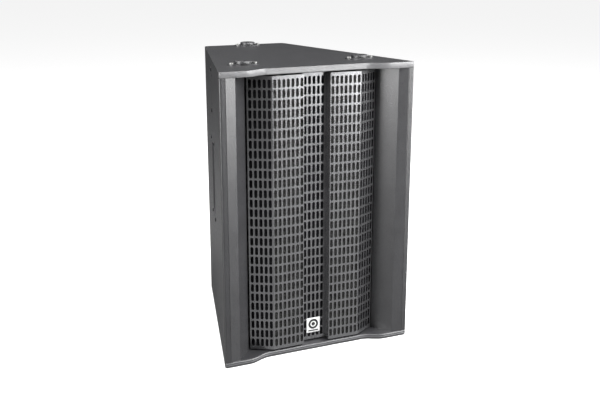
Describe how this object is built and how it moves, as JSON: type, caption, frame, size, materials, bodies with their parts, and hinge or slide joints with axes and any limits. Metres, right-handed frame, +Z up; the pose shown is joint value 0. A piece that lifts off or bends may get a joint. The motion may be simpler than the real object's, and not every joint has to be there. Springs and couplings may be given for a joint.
{
  "type": "line array speaker",
  "caption": "Wedge-plan line array loudspeaker cabinet with a ridged perforated front grille, angled side trims and round rigging studs on top.",
  "frame": {"origin": "middle of the base, on the surface the cabinet stands on, at the centre of its overall box", "axes": "+Z up, -Y out through the front grille, +X to the right of someone facing the grille"},
  "size_m": [0.408, 0.436, 0.598],
  "materials": {
    "cabinet_lacquer": "fine-grained sprayed lacquer over plywood, satin",
    "trim_lacquer": "smooth satin lacquer",
    "bare_ply": "unpainted birch plywood",
    "lining": "polyester wadding",
    "grille_coat": "semi-gloss powder coat on perforated steel",
    "foam": "open-cell foam",
    "zinc_steel": "zinc plated",
    "dark_steel": "black steel, semi-gloss",
    "badge_white": "white enamel",
    "cast_basket": "black coated cast aluminium",
    "black_rubber": "rubber",
    "paper_cone": "coated paper",
    "coil_copper": "copper wire on a polyimide former",
    "spider_cloth": "resin-treated cloth",
    "magnet_black": "ferrite",
    "horn_plastic": "moulded plastic, satin",
    "titanium": "thin metal foil",
    "circuit_board": "solder-masked glass epoxy",
    "capacitor_film": "film capacitor sleeve",
    "brass": "turned",
    "wire_red": "cable insulation",
    "black_plastic": "moulded plastic",
    "rocker_red": "moulded plastic"
  },
  "bodies": {
    "cabinet": {"top_panel": "cabinet_lacquer", "bottom_panel": "cabinet_lacquer", "left_side_panel": "cabinet_lacquer", "right_side_panel": "cabinet_lacquer", "rear_panel": "cabinet_lacquer", "front_baffle": "cabinet_lacquer", "internal_brace": "bare_ply", "damping_lining": "lining", "left_wing": "trim_lacquer", "right_wing": "trim_lacquer", "front_grille": "grille_coat", "grille_foam": "foam", "grille_brackets": "zinc_steel", "badge_plate": "badge_white", "upper_woofer_basket": "cast_basket", "upper_woofer_clamp_ring": "black_plastic", "upper_woofer_surround": "black_rubber", "upper_woofer_spider": "spider_cloth", "upper_woofer_front_plate": "zinc_steel", "upper_woofer_magnet": "magnet_black", "upper_woofer_back_plate": "zinc_steel", "lower_woofer_basket": "cast_basket", "lower_woofer_clamp_ring": "black_plastic", "lower_woofer_surround": "black_rubber", "lower_woofer_spider": "spider_cloth", "lower_woofer_front_plate": "zinc_steel", "lower_woofer_magnet": "magnet_black", "lower_woofer_back_plate": "zinc_steel", "woofer_screws": "dark_steel", "horn": "horn_plastic", "horn_screws": "dark_steel", "hf_driver_body": "dark_steel", "hf_driver_cover": "black_plastic", "crossover_board": "circuit_board", "crossover_coils": "coil_copper", "crossover_capacitors": "capacitor_film", "board_standoffs": "brass", "wiring_loom": "wire_red", "connector_plate": "dark_steel", "connector_plate_screws": "zinc_steel", "input_socket": "black_plastic", "link_socket": "black_plastic", "mode_switch_housing": "black_plastic", "left_handle_cup": "horn_plastic", "right_handle_cup": "horn_plastic", "handle_screws": "dark_steel", "top_rigging_plates": "dark_steel", "top_rigging_studs": "dark_steel", "top_rigging_screws": "zinc_steel", "bottom_rigging_cups": "zinc_steel", "side_rigging_plates": "dark_steel", "side_rigging_screws": "dark_steel"},
    "upper_cone_assembly": {"upper_woofer_cone": "paper_cone", "upper_woofer_dust_cap": "paper_cone", "upper_woofer_voice_coil": "coil_copper"},
    "lower_cone_assembly": {"lower_woofer_cone": "paper_cone", "lower_woofer_dust_cap": "paper_cone", "lower_woofer_voice_coil": "coil_copper"},
    "hf_diaphragm": {"hf_diaphragm": "titanium"},
    "mode_rocker": {"mode_switch_rocker": "rocker_red"}
  },
  "joints": [
    {"name": "upper_cone_travel", "type": "slide", "parent": "cabinet", "child": "upper_cone_assembly", "axis": [0, 1, 0], "range_m": [-0.005, 0.005], "stiffness_N_per_m": 2500, "deforming": ["upper_woofer_surround", "upper_woofer_spider"]},
    {"name": "lower_cone_travel", "type": "slide", "parent": "cabinet", "child": "lower_cone_assembly", "axis": [0, 1, 0], "range_m": [-0.005, 0.005], "stiffness_N_per_m": 2500, "deforming": ["lower_woofer_surround", "lower_woofer_spider"]},
    {"name": "hf_diaphragm_travel", "type": "slide", "parent": "cabinet", "child": "hf_diaphragm", "axis": [0, 1, 0], "range_m": [-0.0003, 0.0003], "stiffness_N_per_m": 30000},
    {"name": "mode_switch_tilt", "type": "hinge", "parent": "cabinet", "child": "mode_rocker", "pos_m": [0, 0.2085, 0.252], "axis": [1, 0, 0], "range_deg": [0, 16]}
  ]
}
